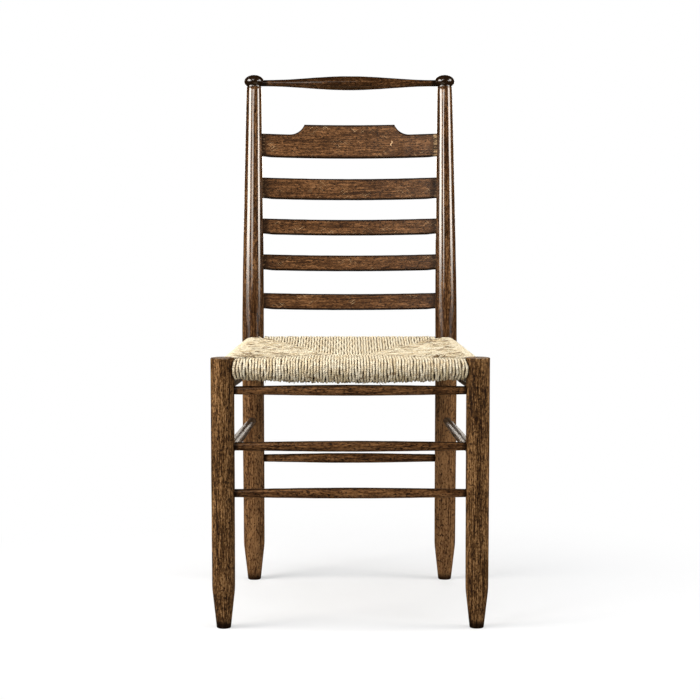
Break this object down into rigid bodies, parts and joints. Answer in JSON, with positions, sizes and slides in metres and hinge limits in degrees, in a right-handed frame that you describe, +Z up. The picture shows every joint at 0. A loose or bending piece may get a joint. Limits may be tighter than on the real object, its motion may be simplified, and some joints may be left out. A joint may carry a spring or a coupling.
{
  "type": "dining chair",
  "caption": "Ladder-back dining chair with turned legs, bowed slats, ball finials and a woven rush seat.",
  "frame": {"origin": "middle of the outline on the ground, under the seat", "axes": "+Z up, the chair faces -Y, +X to the right of a person looking at the chair's front"},
  "size_m": [0.494, 0.5508, 0.9942],
  "materials": {
    "leg_wood": "dark stained oak, satin lacquer, worn edges",
    "post_wood": "dark stained oak, glossy lacquer, worn edges",
    "slat_wood": "mid-dark stained oak, satin lacquer, darker edges, light scratches",
    "stretcher_wood": "dark stained oak, satin lacquer",
    "rail_wood": "unfinished oak, hidden under the rush",
    "rush": "hand-twisted natural rush cord",
    "stuffing": "packed loose rush"
  },
  "bodies": {
    "root": {"front_leg_left": "leg_wood", "front_leg_right": "leg_wood", "rear_post_left": "post_wood", "rear_post_right": "post_wood", "crest_spindle": "post_wood", "top_slat": "slat_wood", "slat_2": "slat_wood", "slat_3": "slat_wood", "slat_4": "slat_wood", "slat_5": "slat_wood", "front_stretcher_upper": "stretcher_wood", "front_stretcher_middle": "stretcher_wood", "front_stretcher_lower": "stretcher_wood", "side_stretcher_upper_left": "stretcher_wood", "side_stretcher_upper_right": "stretcher_wood", "side_stretcher_middle_left": "stretcher_wood", "side_stretcher_middle_right": "stretcher_wood", "rear_stretcher": "stretcher_wood", "seat_rail_front": "rail_wood", "seat_rail_back": "rail_wood", "seat_rail_left": "rail_wood", "seat_rail_right": "rail_wood", "rush_seat": "rush", "stuffing_front": "stuffing", "stuffing_back": "stuffing", "stuffing_left": "stuffing", "stuffing_right": "stuffing"}
  },
  "joints": []
}
